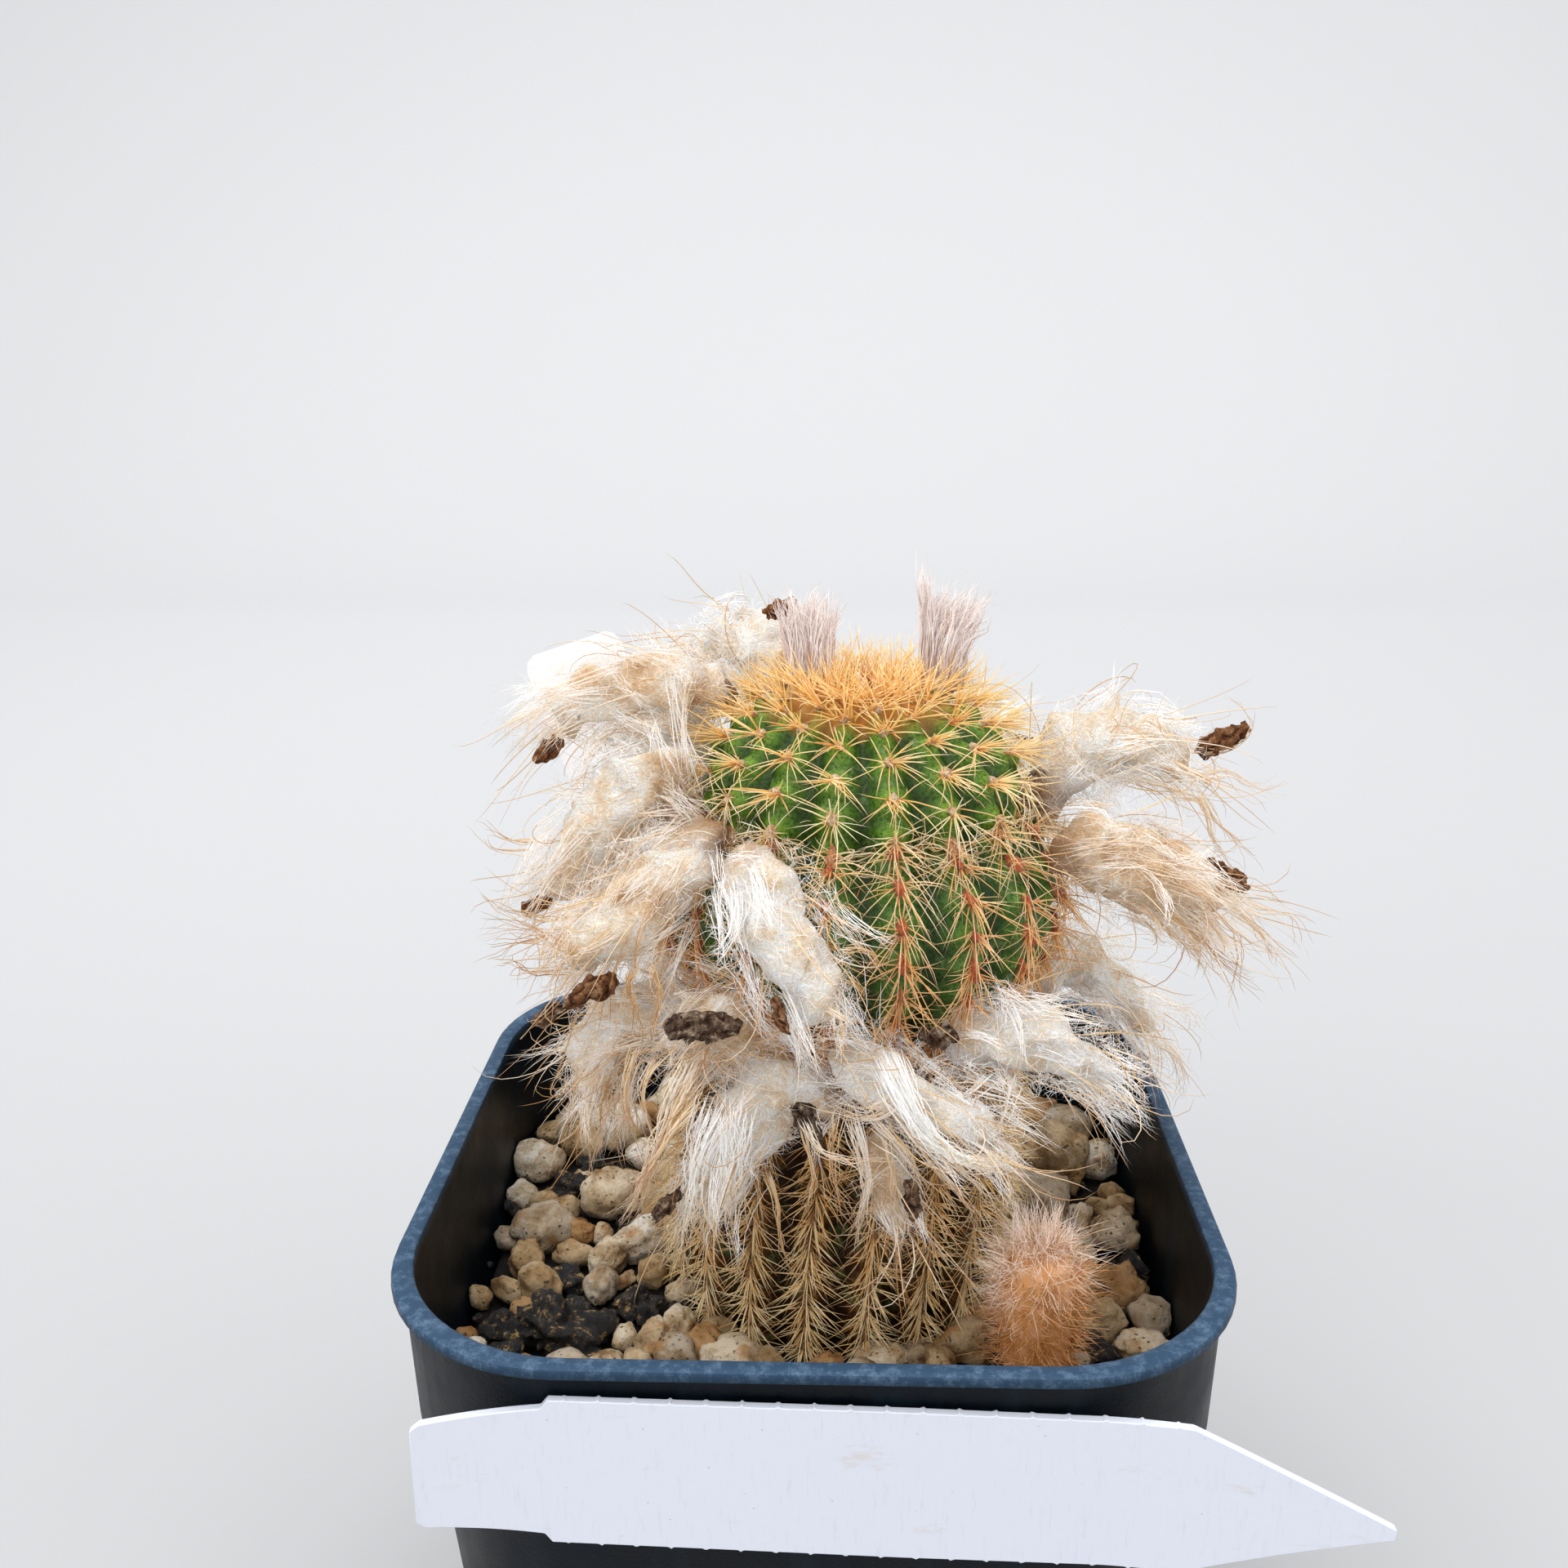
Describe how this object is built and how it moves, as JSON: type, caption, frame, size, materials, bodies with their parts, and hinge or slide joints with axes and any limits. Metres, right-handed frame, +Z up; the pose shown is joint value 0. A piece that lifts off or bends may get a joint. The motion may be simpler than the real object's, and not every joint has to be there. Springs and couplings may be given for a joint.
{
  "type": "potted frailea",
  "caption": "Small ribbed cactus with a waisted stem, golden spines and woolly dried fruits, growing in pumice in a square plastic nursery pot with two blank plant labels.",
  "frame": {"origin": "middle of the pot's flat underside, on the plane that it stands on", "axes": "+Z up; -Y is the pot's front, which carries the long label; +X is to the right as seen from the front"},
  "size_m": [0.0839, 0.0778, 0.129],
  "materials": {
    "dried_flower": "matte",
    "label_plastic": "satin",
    "fruit_wool": "matte",
    "growing_mix": "matte",
    "offset_bristles": "matte",
    "pot_plastic": "satin",
    "pumice": "matte",
    "stem_skin": "satin",
    "young_wool": "matte"
  },
  "bodies": {
    "root": {"dried_flower_back_hanging": "dried_flower", "dried_flower_back_low": "dried_flower", "dried_flower_back_right": "dried_flower", "dried_flower_back_top": "dried_flower", "dried_flower_bark": "dried_flower", "dried_flower_cage": "dried_flower", "dried_flower_front_hanging": "dried_flower", "dried_flower_front_loop": "dried_flower", "dried_flower_front_thin": "dried_flower", "dried_flower_front_white": "dried_flower", "dried_flower_left_high": "dried_flower", "dried_flower_left_low": "dried_flower", "dried_flower_left_top": "dried_flower", "dried_flower_right_high": "dried_flower", "dried_flower_right_low": "dried_flower", "dried_flower_right_mid": "dried_flower", "front_label": "label_plastic", "fruit_back_hanging": "fruit_wool", "fruit_back_left": "fruit_wool", "fruit_back_low": "fruit_wool", "fruit_back_mid": "fruit_wool", "fruit_back_right": "fruit_wool", "fruit_back_top": "fruit_wool", "fruit_bark": "fruit_wool", "fruit_cage": "fruit_wool", "fruit_front_hanging": "fruit_wool", "fruit_front_loop": "fruit_wool", "fruit_front_thin": "fruit_wool", "fruit_front_white": "fruit_wool", "fruit_left_high": "fruit_wool", "fruit_left_low": "fruit_wool", "fruit_left_top": "fruit_wool", "fruit_right_back": "fruit_wool", "fruit_right_high": "fruit_wool", "fruit_right_low": "fruit_wool", "fruit_right_mid": "fruit_wool", "growing_mix": "growing_mix", "offset": "offset_bristles", "pot": "pot_plastic", "pumice": "pumice", "stake_label": "label_plastic", "stem": "stem_skin", "young_fruit_left": "young_wool", "young_fruit_right": "young_wool"}
  },
  "joints": []
}
